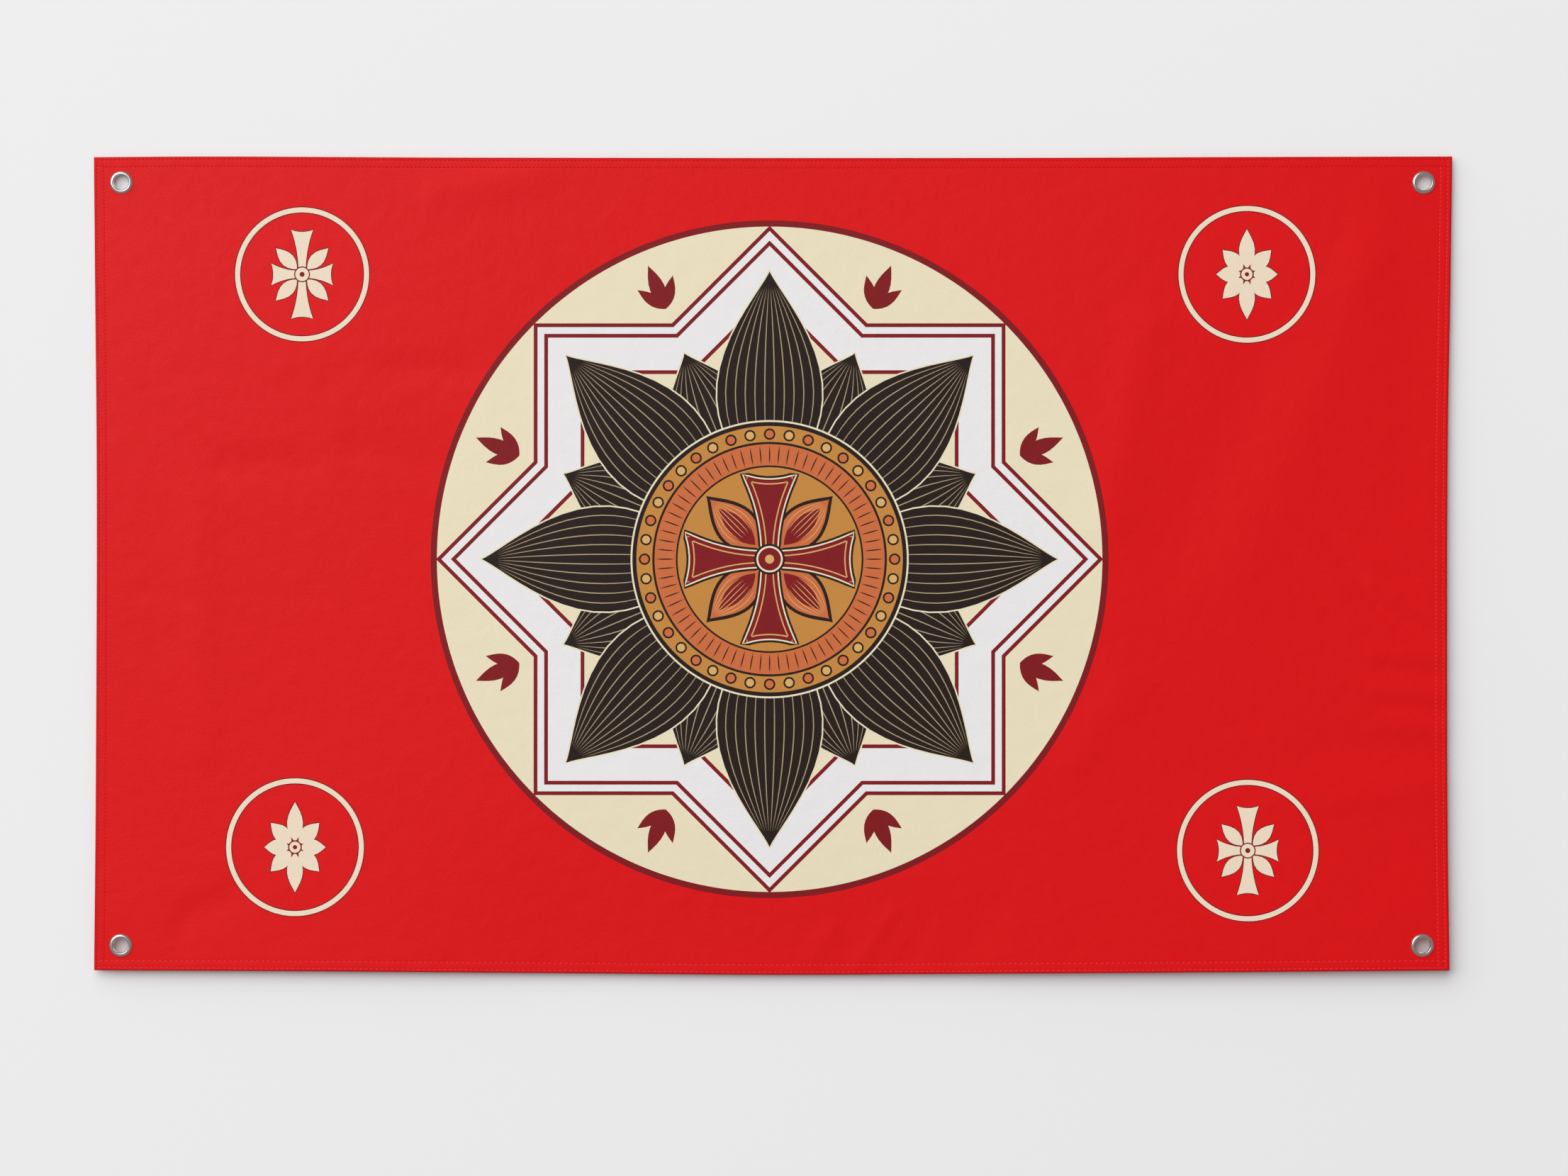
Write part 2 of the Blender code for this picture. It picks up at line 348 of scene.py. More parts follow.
def fold_height(hung, folds):
    """Sum of the soft folds: each is a bell across its line, exp(-(distance / half width)^2)."""
    height = np.zeros(hung.shape[:-1])
    for start_x, start_z, end_x, end_z, half_width, rise in folds:
        run = np.array([end_x - start_x, end_z - start_z])
        away = hung - np.array([start_x, start_z])
        t = np.clip(away @ run / (run @ run), 0, 1)
        distance = np.linalg.norm(away - t[..., None] * run, axis=-1)
        height += rise * np.exp(-((distance / half_width) ** 2))
    return height


def eyelet_plans():
    """Each eyelet's corner name and the centre of its hole in the cloth's plan."""
    places = []
    for corner, side_inset, end_inset in EYELETS:
        across = FLAG_WIDTH - side_inset if "right" in corner else side_inset
        down = FLAG_HEIGHT - end_inset if "bottom" in corner else end_inset
        places.append((corner, np.array([across, -down])))
    return places


def cloth_stand(plan):
    """Distance of the cloth's front from the wall, in mm, with its folds, and flat round each eyelet."""
    hung = hung_point(plan)
    stand = plain_stand(plan) + fold_height(hung, FOLDS) + fold_height(hung, FINE_FOLDS)
    for _, centre in eyelet_plans():
        own_stand = plain_stand(centre)
        away = np.linalg.norm(hung - hung_point(centre), axis=-1)
        stand = own_stand + (stand - own_stand) * eased(CALM_RADIUS, FREE_RADIUS, away)
    return stand


def edge_distances(plan):
    """Distance in the plan from each side's edge, by the side's name."""
    across = plan[..., 0]
    down = -plan[..., 1]
    return {"left": across, "right": FLAG_WIDTH - across, "top": down, "bottom": FLAG_HEIGHT - down}


def nearest_edge(plan):
    """Distance in the plan from the nearest edge."""
    return np.minimum.reduce(list(edge_distances(plan).values()))


def hem_share(plan, sides):
    """1 on the hem of these sides and 0 in the field, with a steep ramp between them."""
    away = edge_distances(plan)
    shares = [1 - eased(HEM_WIDTHS[side] - 0.3, HEM_WIDTHS[side] + 0.3, away[side]) for side in sides]
    return np.maximum(*shares)


def cloth_relief(plan, sizes):
    """Heights of the front and the back over the plain front, in mm.

    Each stitch row pulls the front in by a bell across the row, the hem thickens the back, and both
    faces curl round to meet half way through the cloth along a quarter circle at the outer edge.
    """
    thickness = sizes.field_thickness + sizes.hem_thickness * (
        hem_share(plan, ("left", "right")) + hem_share(plan, ("top", "bottom"))
    )
    thickness = thickness / MM
    away = edge_distances(plan)
    nearest = nearest_edge(plan)
    t = 1 - np.clip(nearest / EDGE_ROUND, 0, 1)
    curl = thickness / 2 * (1 - np.sqrt(1 - t * t))
    front = -curl
    back = curl - thickness
    for side, inset in sorted({row[:2] for row in STITCH_ROWS}):
        bell = np.exp(-(((away[side] - inset) / (sizes.groove_width / MM)) ** 2))
        front -= sizes.groove_depth / MM * bell
        back += sizes.groove_depth / MM * bell * eased(0, 2, nearest)
    return front, back


def lattice(low, high, step):
    """Points of a triangle lattice that fills a plan box, each row moved half a step from the last."""
    rows = np.arange(low[1], high[1], step * math.sqrt(3) / 2)
    columns = np.arange(low[0], high[0], step)
    across = columns[None, :] + (np.arange(len(rows)) % 2)[:, None] * step / 2
    points = np.stack([across, np.broadcast_to(rows[:, None], across.shape)], axis=-1)
    points = points.reshape(-1, 2)
    return points[(points < np.array(high)).all(axis=1)]


def hem_points():
    """Plan points of the hem: a grid of its lines on each side, with even steps between the corners."""
    reach = HEM_LINES[-1]

    def side_places(length):
        steps = round((length - 2 * reach) / HEM_STEP)
        middle = np.linspace(reach, length - reach, steps + 1)[1:-1]
        return np.concatenate([HEM_LINES, middle, length - np.array(HEM_LINES)[::-1]])

    across = side_places(FLAG_WIDTH)
    down = side_places(FLAG_HEIGHT)
    grid = np.stack(np.meshgrid(across, -down, indexing="ij"), axis=-1).reshape(-1, 2)
    return grid[nearest_edge(grid) < reach + 1e-6]


def outline_loop():
    """Plan points of the cloth's outer edge in order, anticlockwise from the top left corner."""
    points = hem_points()
    away = edge_distances(points)
    runs = []
    for side, axis, sign in (("left", 1, -1), ("bottom", 0, 1), ("right", 1, 1), ("top", 0, -1)):
        run = points[away[side] == 0]
        runs.append(run[np.argsort(sign * run[:, axis])][:-1])
    return np.concatenate(runs)


def circle(radius, step=PRINT_STEP, centre=(0, 0)):
    """Closed ring of 20 or more points, a radius from the centre, about a step apart."""
    count = max(20, round(2 * math.pi * radius / step))
    turn = np.arange(count) * 2 * math.pi / count
    return np.array(centre) + radius * np.stack([np.cos(turn), np.sin(turn)], axis=-1)


def turned(points, degrees, centre=(0, 0)):
    """Points turned anticlockwise about the origin, then moved to the centre."""
    turn = math.radians(degrees)
    across = points[:, 0] * math.cos(turn) - points[:, 1] * math.sin(turn)
    up = points[:, 0] * math.sin(turn) + points[:, 1] * math.cos(turn)
    return np.stack([across, up], axis=-1) + np.array(centre)


def stepped(corners, step=PRINT_STEP):
    """A closed outline's corners with even points added between them, at most a step apart."""
    runs = []
    for start, end in zip(corners, np.roll(corners, -1, axis=0)):
        count = max(1, math.ceil(np.linalg.norm(end - start) / step))
        runs.append(start + (end - start) * (np.arange(count) / count)[:, None])
    return np.concatenate(runs)


def star(reach):
    """Eight-pointed star of two crossed squares: its points at the reach, its notches where they cross."""
    notch = reach * math.cos(math.pi / 4) / math.cos(math.pi / 8)
    turn = np.arange(16) * math.pi / 8
    radius = np.where(np.arange(16) % 2 == 0, reach, notch)
    return stepped(radius[:, None] * np.stack([np.cos(turn), np.sin(turn)], axis=-1))


def petal_width(t, width):
    """Half width of a petal at share t of its length: t (1 - t)^1.2, scaled so that its widest is width."""
    widest = 1 / 2.2
    return width / 2 * t / widest * ((1 - t) / (1 - widest)) ** 1.2


def petal(start, tip, width, steps=22):
    """Outline of a petal along +X, from its start to its tip, with its two sides alike."""
    t = (1 - np.cos(np.linspace(0, math.pi, steps + 1))) / 2
    along_x = start + (tip - start) * t
    half = petal_width(t, width)
    upper = np.stack([along_x, half], axis=-1)
    lower = np.stack([along_x, -half], axis=-1)
    return np.concatenate([lower, upper[-2:0:-1]])


def veins(start, tip, width, count, thickness, first=0.2, last=0.93, steps=14):
    """Fine lines along a petal that keep their share of its width, thinning out at both ends."""
    t = np.linspace(first, last, steps + 1)
    along_x = start + (tip - start) * t
    half_line = thickness / 2 * np.sin(np.linspace(0, math.pi, steps + 1)) ** 0.5
    shapes = []
    for share in (np.arange(count) + 0.5) / count * 2 - 1:
        middle = share * petal_width(t, width) * 0.93
        lower = np.stack([along_x, middle - half_line], axis=-1)
        upper = np.stack([along_x, middle + half_line], axis=-1)
        shapes.append(np.concatenate([lower, upper[-2:0:-1]]))
    return shapes


def flared_cross(reach, side_reach, waist, flare, steps=7):
    """Cross of four arms that widen outwards by the square of the distance, with hollow ends."""
    t = np.linspace(0, 1, steps + 1)
    half = waist / 2 + (flare - waist) / 2 * t**2
    end_up = np.linspace(-1, 1, steps + 1)[1:-1] * flare / 2
    hollow = flare * 0.09 * (1 - (end_up * 2 / flare) ** 2)
    arms = []
    for quarter, tip in ((0, side_reach), (90, reach), (180, side_reach), (270, reach)):
        out = waist / 2 + (tip - waist / 2) * t
        lower = np.stack([out, -half], axis=-1)
        end = np.stack([tip - hollow, end_up], axis=-1)
        upper = np.stack([out, half], axis=-1)[::-1]
        arms.append(turned(np.concatenate([lower, end, upper[:-1]]), quarter))
    return np.concatenate(arms)


def grown(outline, margin):
    """A smooth outline moved outwards by a margin along its own normals."""
    ahead = np.roll(outline, -1, axis=0) - np.roll(outline, 1, axis=0)
    normal = np.stack([ahead[:, 1], -ahead[:, 0]], axis=-1)
    return outline + margin * normal / np.linalg.norm(normal, axis=1, keepdims=True)


def ring_shapes(centre, outer, motif):
    """A corner ring: its cream stroke with a thin dark outline on both sides, and a motif within."""
    stroke = 6.6
    line = 1.1
    inner = outer - stroke
    radii = (outer + line / 2, outer - line / 2, inner + line / 2, inner - line / 2)
    inks = ("rim_red", "ring_cream", "rim_red", "field_red")
    shapes = [(ink, circle(radius, 4)) for ink, radius in zip(inks, radii)] + motif
    return [(ink, outline + np.array(centre)) for ink, outline in shapes]


def outlined(parts, boss_radii, boss_steps):
    """Cream parts over their dark outlines, then a boss of a dark, a cream and a dark disc."""
    line = 1.0
    shapes = [("rim_red", grown(part, line)) for part in parts]
    shapes += [("ring_cream", part) for part in parts]
    for ink, radius, step in zip(("rim_red", "ring_cream", "rim_red"), boss_radii, boss_steps):
        shapes.append((ink, circle(radius, step)))
    return shapes


def cross_motif():
    """A slender upright cross whose arms widen outwards, with four small leaves between them."""
    leaves = [turned(petal(8, 41, 15, 9), 45 + quarter) for quarter in (0, 90, 180, 270)]
    return outlined([*leaves, flared_cross(49, 34, 8, 24)], (8.8, 7.5, 2.8), (2, 2, 2))


def flower_motif():
    """A tall flower of eight slim petals round a small boss, longest upwards and downwards."""
    tips = (34, 38, 50, 38, 34, 38, 50, 38)
    petals = [turned(petal(6, tip, 17.5, 12), 45 * turn) for turn, tip in enumerate(tips)]
    return outlined(petals, (7.6, 6.2, 2.4), (2, 2, 1.5))


def star_shapes():
    """The roundel's dark rim and cream ground, and a star's white band between its dark outlines."""
    rim = 6.8
    line = 4.2
    outer = ROUNDEL_DIAMETER / 2
    reach = outer - rim + 1
    shapes = [("rim_red", circle(outer)), ("cream", circle(outer - rim))]
    inset = 0
    for ink, width in (("white", 7.4), ("white", 36), ("cream", 0)):
        for band_ink, step in (("rim_red", line), (ink, width)):
            shapes.append((band_ink, star(reach - inset * math.sqrt(2))))
            inset += step
    return shapes


def spray_shapes():
    """Between each two points of the star, a small dark spray of three leaves on the cream."""
    shapes = []
    for turn in range(8):
        middle = 22.5 + 45 * turn
        for lean, tip, width in ((-34, 38, 13), (34, 38, 13), (0, 52, 17)):
            leaf = turned(petal(0, tip, width, 12), lean) + np.array([299, 0])
            shapes.append(("rim_red", turned(leaf, middle)))
    return shapes


def rosette_shapes():
    """Sixteen dark petals with fine pale veins, eight short ones under eight long ones."""
    shapes = []
    for tip, width, first_turn, count in ((246, 112, 22.5, 9), (318, 116, 0, 10)):
        for turn in range(8):
            degrees = first_turn + 45 * turn
            outline = petal(70, tip, width)
            shapes.append(("cream", turned(grown(outline, 1.6), degrees)))
            shapes.append(("brown", turned(outline, degrees)))
            for vein in veins(70, tip, width, count, 1.2):
                shapes.append(("vein", turned(vein, degrees)))
    return shapes


def medallion_shapes():
    """The roundel's heart: beaded ring, fine rays, four leaves and a flared cross on ochre."""
    shapes = [
        ("cream", circle(153.5)),
        ("brown", circle(151.5)),
        ("ochre", circle(147)),
    ]
    for turn in range(40):
        bead = turned(circle(6.4, 2.4, (138, 0)), 9 * turn)
        heart = turned(circle(4.4, 2.2, (138, 0)), 9 * turn)
        shapes += [("brown", bead), ("tan" if turn % 2 else "orange", heart)]
    shapes += [("brown", circle(129.5)), ("orange", circle(127))]
    for turn in range(72):
        ray = veins(104, 126, 10, 1, 1.4, 0.02, 0.98, 4)[0]
        shapes.append(("brown", turned(ray, 5 * turn)))
    shapes += [("brown", circle(103.5)), ("ochre", circle(101.5))]
    for quarter in (45, 135, 225, 315):
        leaf = (("brown", 10, 99, 47), ("orange", 14, 93, 40), ("rim_red", 22, 80, 22))
        for ink, start, tip, width in leaf:
            shapes.append((ink, turned(petal(start, tip, width), quarter)))
        for vein in veins(18, 92, 38, 7, 0.9, 0.25, 0.9, 9):
            shapes.append(("tan", turned(vein, quarter)))
    cross = flared_cross(93, 93, 17, 58, steps=12)
    for ink, margin in (("brown", 4.0), ("cream", 1.6), ("rim_red", 0), ("tan", -4.0), ("rim_red", -5.4)):
        shapes.append((ink, grown(cross, margin)))
    for ink, radius in (("brown", 17), ("cream", 14.6), ("rim_red", 12.6), ("tan", 5.0)):
        shapes.append((ink, circle(radius, 3)))
    return shapes


def print_shapes():
    """The whole print in the order in which it is laid down, as ink and outline in the cloth's plan."""
    shapes = []
    for group in (star_shapes(), spray_shapes(), rosette_shapes(), medallion_shapes()):
        shapes += [(ink, outline + np.array(ROUNDEL_CENTRE)) for ink, outline in group]
    for index, (x, z, diameter) in enumerate(CORNER_RINGS):
        motif = cross_motif() if index in (0, 3) else flower_motif()
        shapes += ring_shapes((x, z), diameter / 2, motif)
    return [(ink, plan_point(outline)) for ink, outline in shapes]


def joined(parts):
    """Points and faces of several parts as one, with each part's faces renumbered."""
    firsts = np.cumsum([0] + [len(points) for points, _ in parts[:-1]])
    faces = [part_faces + first for (_, part_faces), first in zip(parts, firsts)]
    return np.concatenate([points for points, _ in parts]), np.concatenate(faces)


def loop_edges(count):
    """Edges of a closed ring of points, as pairs of indices."""
    index = np.arange(count)
    return np.stack([index, (index + 1) % count], axis=-1)


def inside(points, outline):
    """Which points lie in a closed outline: a level ray from each crosses it an odd number of times."""
    start = outline
    end = np.roll(outline, -1, axis=0)
    rise = end[:, 1] - start[:, 1]
    rise[rise == 0] = 1e-12
    level = points[:, 1][:, None]
    crosses = (start[:, 1] > level) != (end[:, 1] > level)
    reach = start[:, 0] + (level - start[:, 1]) / rise * (end[:, 0] - start[:, 0])
    return (crosses & (points[:, 0][:, None] < reach)).sum(axis=1) % 2 == 1


def inks_at(points, shapes, ink_names):
    """Number of the ink at each plan point: the last shape that holds the point, or else the ground."""
    found = np.zeros(len(points), int)
    for ink, outline in shapes:
        near = ((points > outline.min(axis=0)) & (points < outline.max(axis=0))).all(axis=1)
        near = np.flatnonzero(near)
        held = near[inside(points[near], outline)]
        found[held] = ink_names.index(ink)
    return found


def clear_of(points, others, distance):
    """The points that have no other one near: cells of that size round the others are barred."""
    cells = np.zeros((math.ceil(FLAG_WIDTH / distance) + 3, math.ceil(FLAG_HEIGHT / distance) + 3), bool)
    taken = (others * np.array([1, -1]) / distance).astype(int) + 1
    for shift_x in (-1, 0, 1):
        for shift_z in (-1, 0, 1):
            cells[taken[:, 0] + shift_x, taken[:, 1] + shift_z] = True
    own = (points * np.array([1, -1]) / distance).astype(int) + 1
    return points[~cells[own[:, 0], own[:, 1]]]


def cloth_face(shapes, field_step, fine_step):
    """Points and triangles of one face of the cloth in its plan.

    The triangles join a lattice, the hem's lines, the eyelet holes and the outlines of the print, and
    none of them crosses an outline. What lies in an eyelet hole is taken out.
    """
    eyelets = [centre for _, centre in eyelet_plans()]
    loops = [outline_loop()] + [circle(HOLE_RADIUS, HOLE_STEP, centre) for centre in eyelets]
    loops += [outline for _, outline in shapes]
    fixed, edges = joined([(loop, loop_edges(len(loop))) for loop in loops])
    hem = hem_points()
    hem = hem[nearest_edge(hem) > 0]
    rings = [circle(radius, HOLE_RING_STEP, centre) for centre in eyelets for radius in HOLE_RINGS]
    inset = HEM_LINES[-1] + field_step / 2
    low = (inset, inset - FLAG_HEIGHT)
    high = (FLAG_WIDTH - inset, -inset)
    field = [hem, *rings]
    if fine_step:
        for x_low, x_high, z_low, z_high in FINE_ZONES:
            box = plan_point(np.array([(x_low, z_low), (x_high, z_high)], float))
            fine = lattice(box[0], box[1], fine_step)
            field.append(clear_of(fine, np.concatenate([fixed, hem]), fine_step * FINE_CLEARANCE))
    known = np.concatenate([fixed, *field])
    field.append(clear_of(lattice(low, high, field_step), known, field_step * FIELD_CLEARANCE))
    points = np.concatenate([fixed, *field])
    merge_distance = 1e-3
    found = delaunay_2d_cdt(points.tolist(), edges.tolist(), [], 0, merge_distance)
    points = np.array(found[0])
    triangles = np.array(found[2])
    centres = points[triangles].mean(axis=1)
    in_hole = np.zeros(len(centres), bool)
    for centre in eyelets:
        in_hole |= np.linalg.norm(centres - centre, axis=1) < HOLE_RADIUS * HOLE_SHARE
    return points, triangles[~in_hole]


def near_hole(plan):
    """1 at the rim of an eyelet hole and 0 from a little outside it."""
    share = np.zeros(plan.shape[:-1])
    for _, centre in eyelet_plans():
        away = np.linalg.norm(plan - centre, axis=-1)
        share = np.maximum(share, 1 - eased(HOLE_RADIUS + 0.05, HOLE_RADIUS + 0.6, away))
    return share


def placed(plan, height):
    """Points in space, in metres, for plan points that lie a height in mm before the cloth's front."""
    hung = hung_point(plan)
    return np.stack([hung[..., 0], -(cloth_stand(plan) + height), hung[..., 1]], axis=-1) * MM


def welded(points, triangles):
    """Points with equal ones made one, the triangles renumbered, and each kept point's old number."""
    keys = np.round(points / 1e-7).astype(np.int64)
    _, kept, number = np.unique(keys, axis=0, return_index=True, return_inverse=True)
    return points[kept], number.reshape(-1)[triangles], kept


def new_mesh(name, points, faces, finishes, face_finish=None, uv_name=None, corner_uv=None):
    """A smooth-shaded mesh object from arrays, with its finishes and, if given, a UV for each corner."""
    mesh = bpy.data.meshes.new(name)
    mesh.from_pydata(points, [], faces)
    for finish in finishes:
        mesh.materials.append(finish)
    if face_finish is not None:
        mesh.polygons.foreach_set("material_index", face_finish.astype(np.int32))
    if corner_uv is not None:
        layer = mesh.uv_layers.new(name=uv_name)
        layer.uv.foreach_set("vector", corner_uv.astype(np.float32).ravel())
    mesh.shade_smooth()
    mesh.validate()
    mesh.update()
    piece = bpy.data.objects.new(name, mesh)
    bpy.context.scene.collection.objects.link(piece)
    return piece


def add_node(tree, kind, inputs=None, **settings):
    """A shader node with its settings, and its inputs set to numbers or joined to other nodes' outputs."""
    node = tree.nodes.new(kind)
    for name, value in settings.items():
        setattr(node, name, value)
    for socket, value in (inputs or {}).items():
        if isinstance(value, bpy.types.NodeSocket):
            tree.links.new(value, node.inputs[socket])
        else:
            node.inputs[socket].default_value = value
    return node


def new_finish(name, base, roughness, **constants):
    """A material with its Principled shader, whose constant values are set on the shader itself."""
    finish = bpy.data.materials.new(name)
    finish.use_nodes = True
    shader = finish.node_tree.nodes["Principled BSDF"]
    shader.inputs["Base Color"].default_value = base
    shader.inputs["Roughness"].default_value = roughness
    for socket, value in constants.items():
        shader.inputs[socket.replace("_", " ")].default_value = value
    return finish, finish.node_tree, shader


def noise(tree, vector, scale, detail=2.0):
    """Noise of a scale, read at a place."""
    node = add_node(tree, "ShaderNodeTexNoise", {"Vector": vector, "Scale": scale, "Detail": detail})
    return node.outputs["Fac"]


def bump(tree, height, distance, below=None):
    """Relief of a height map, laid over the relief below it."""
    inputs = {"Height": height, "Distance": distance}
    if below is not None:
        inputs["Normal"] = below
    return add_node(tree, "ShaderNodeBump", inputs).outputs["Normal"]


def spread(tree, value, low, high):
    """A share from 0 to 1 spread over a range."""
    node = add_node(tree, "ShaderNodeMapRange", {"Value": value, "To Min": low, "To Max": high})
    return node.outputs["Result"]


def cloth_finish(name, base, sizes, roughness=0.46):
    """Printed cloth: fine twill in relief, uneven thickness of its threads, and soft unevenness.

    The twill is the height of the crossed threads, plus a diagonal rib that falls to the right.
    """
    finish, tree, shader = new_finish(name, base, roughness, Specular_IOR_Level=0.2)
    place = add_node(tree, "ShaderNodeUVMap", uv_map=PLAN_UV).outputs["UV"]
    # At this scale the texture's level and upright bands lie one thread pitch apart
    wave_scale = math.pi / 10 / sizes.thread_pitch
    height = None
    for direction, share in (("X", 0.5), ("Y", 0.5), ("DIAGONAL", 1.0)):
        wave = add_node(
            tree,
            "ShaderNodeTexWave",
            {
                "Vector": place,
                "Scale": wave_scale,
                "Distortion": 1.6,
                "Detail": 1.5,
                "Detail Scale": 0.7,
            },
            bands_direction=direction,
        )
        inputs = {0: wave.outputs["Fac"], 1: share, 2: 0.0 if height is None else height}
        height = add_node(tree, "ShaderNodeMath", inputs, operation="MULTIPLY_ADD").outputs[0]
    # Soft unevenness, then uneven threads, then the weave itself
    relief = bump(tree, noise(tree, place, 40.0, 3.0), 0.0005)
    relief = bump(tree, noise(tree, place, 420.0, 2.0), 0.00013, relief)
    relief = bump(tree, height, sizes.weave_relief, relief)
    tree.links.new(relief, shader.inputs["Normal"])
    rough = spread(tree, noise(tree, place, 90.0), roughness - 0.07, roughness + 0.07)
    tree.links.new(rough, shader.inputs["Roughness"])
    return finish


def thread_finish(name, base):
    """Sewing thread: fine twist in relief along each stitch."""
    finish, tree, shader = new_finish(name, base, 0.6, Specular_IOR_Level=0.15)
    place = add_node(tree, "ShaderNodeTexCoord").outputs["Object"]
    tree.links.new(bump(tree, noise(tree, place, 2600.0), 0.00004), shader.inputs["Normal"])
    rough = spread(tree, noise(tree, place, 900.0), 0.5, 0.7)
    tree.links.new(rough, shader.inputs["Roughness"])
    return finish


def nickel_finish(name, base):
    """Bright nickel plating: fine turning marks round the axis, faint wear and a soft haze."""
    finish, tree, shader = new_finish(name, base, 0.3, Metallic=1.0)
    round_axis = add_node(tree, "ShaderNodeUVMap", uv_map=TURNED_UV).outputs["UV"]
    stretched = add_node(
        tree, "ShaderNodeVectorMath", {0: round_axis, 1: (6.0, 240.0, 1.0)}, operation="MULTIPLY"
    )
    marks = noise(tree, stretched.outputs[0], 30.0, 3.0)
    place = add_node(tree, "ShaderNodeTexCoord").outputs["Object"]
    relief = bump(tree, marks, 0.000006)
    relief = bump(tree, noise(tree, place, 420.0), 0.00003, relief)
    tree.links.new(relief, shader.inputs["Normal"])
    rough = spread(tree, noise(tree, place, 260.0, 4.0), 0.2, 0.32)
    tree.links.new(rough, shader.inputs["Roughness"])
    return finish


def paler(base, share):
    """A colour mixed with white, as a print looks from the back of its cloth."""
    return (*[value * (1 - share) + share for value in base[:3]], 1.0)


def make_panel(context):
    """The cloth: its front and back faces joined at the outer edge and the eyelet holes.

    Each face is a function of two plan sizes, across and up: x and z spread between the bowed edges, and
    y is minus the corners' stand, the folds and the relief of hem and stitch rows together.
    """
    sizes = context.scene.flag_cloth
    colours = context.scene.flag_colours
    shapes = print_shapes()
    ink_names = "field_red edge_red rim_red cream ring_cream white brown vein ochre orange tan".split()
    plans = []
    parts = []
    inks = []
    for facing, step, fine_step in (("front", FIELD_STEP, FINE_STEP), ("back", FIELD_STEP * 1.3, None)):
        plan, faces = cloth_face(shapes, step, fine_step)
        front, back = cloth_relief(plan, sizes)
        middle = (front + back) / 2
        height = front if facing == "front" else back
        height = height + (middle - height) * near_hole(plan)
        middles = plan[faces].mean(axis=1)
        ink = inks_at(middles, shapes, ink_names)
        # Painted shade along the outer edge: faces within its band take the deeper red
        ink[nearest_edge(middles) < EDGE_WIDTH] = ink_names.index("edge_red")
        if facing == "back":
            faces = faces[:, ::-1]
            ink = ink + len(ink_names)
        plans.append(plan)
        parts.append((placed(plan, height), faces))
        inks.append(ink)
    plans = np.concatenate(plans)
    points, triangles, kept = welded(*joined(parts))
    finishes = [cloth_finish(name, getattr(colours, name), sizes) for name in ink_names]
    for name in ink_names:
        finishes.append(cloth_finish(f"{name}_back", paler(getattr(colours, name), 0.06), sizes, 0.62))
    panel = new_mesh(
        "flag_panel",
        points,
        triangles,
        finishes,
        np.concatenate(inks),
        PLAN_UV,
        plans[kept][triangles].reshape(-1, 2) * MM,
    )
    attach(panel, "root")
    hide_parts("flag_cloth")
    return panel


def stitch_form(length, width, proud, sides=6, rings=4):
    """Points and triangles of one stitch along +X: a thread that arches up and dives at both ends.

    Round each ring of the grid the thread is a circle, and its top is proud x (1 - 1.5 s^6) high.
    """
    s = np.linspace(-0.9, 0.9, rings)
    turn = np.arange(sides) * 2 * math.pi / sides
    radius = width / 2 * np.sqrt(1 - s**6)
    lift = proud * (1 - 1.5 * s**6) - width / 2
    ring = np.empty((rings, sides, 3))
    ring[:, :, 0] = (s * length / 2)[:, None]
    ring[:, :, 1] = radius[:, None] * np.cos(turn)
    ring[:, :, 2] = lift[:, None] + radius[:, None] * np.sin(turn)
    tips = np.array([(-length / 2, 0, -width), (length / 2, 0, -width)])
    points = np.concatenate([ring.reshape(-1, 3), tips])
    column = np.arange(sides)
    beside = (column + 1) % sides
    faces = []
    for row in range(rings - 1):
        low = row * sides
        high = low + sides
        faces.append(np.stack([low + column, high + column, high + beside], axis=-1))
        faces.append(np.stack([low + column, high + beside, low + beside], axis=-1))
    last = (rings - 1) * sides
    start_tip = np.full(sides, rings * sides)
    faces.append(np.stack([start_tip, column, beside], axis=-1))
    faces.append(np.stack([start_tip + 1, last + beside, last + column], axis=-1))
    return points, np.concatenate(faces)


def outward(points, triangles):
    """The triangles of a closed form, turned round if its signed volume says that they face inwards."""
    a, b, c = (points[triangles[:, corner]] for corner in range(3))
    volume = (a * np.cross(b, c)).sum()
    return triangles if volume > 0 else triangles[:, ::-1]


def stitch_places(side, inset, start, end, pitch, order):
    """Plan points of a row's stitches, evenly pitched, with a seeded unevenness of a twentieth of a mm."""
    level = side in ("top", "bottom")
    length = (FLAG_WIDTH if level else FLAG_HEIGHT) - start - end
    count = round(length / pitch)
    place = start + (np.arange(count) + 0.5) * length / count
    uneven = np.random.default_rng(order).normal(0, 0.05, (2, count))
    place = place + uneven[0]
    away = inset + uneven[1]
    if level:
        return np.stack([place, -away if side == "top" else away - FLAG_HEIGHT], axis=-1), (1, 0)
    return np.stack([away if side == "left" else FLAG_WIDTH - away, -place], axis=-1), (0, -1)


def row_of_stitches(row, order, facing, cloth, stitch):
    """Points and triangles of one hem row: the stitch form carried to each place along the row."""
    side, inset, start, end, pitch = row
    plan, direction = stitch_places(side, inset, start, end, pitch, order)
    places = []
    for shift in (0, -1, 1):
        point = plan + shift * np.array(direction)
        front, back = cloth_relief(point, cloth)
        places.append(placed(point, front if facing == "front" else back))
    along_row = places[2] - places[1]
    along_row /= np.linalg.norm(along_row, axis=1, keepdims=True)
    out = np.array([0, -1, 0]) if facing == "front" else np.array([0, 1, 0])
    beside = np.cross(out, along_row)
    beside /= np.linalg.norm(beside, axis=1, keepdims=True)
    out = np.cross(along_row, beside)
    form, faces = stitch_form(min(stitch.length, pitch * 0.86 * MM), stitch.width, stitch.proud)
    axes = np.stack([along_row, beside, out], axis=1)
    points = places[0][:, None, :] + np.einsum("pk,nkj->npj", form, axes)
    faces = faces[None] + (np.arange(len(plan)) * len(form))[:, None, None]
    return points.reshape(-1, 3), faces.reshape(-1, 3)


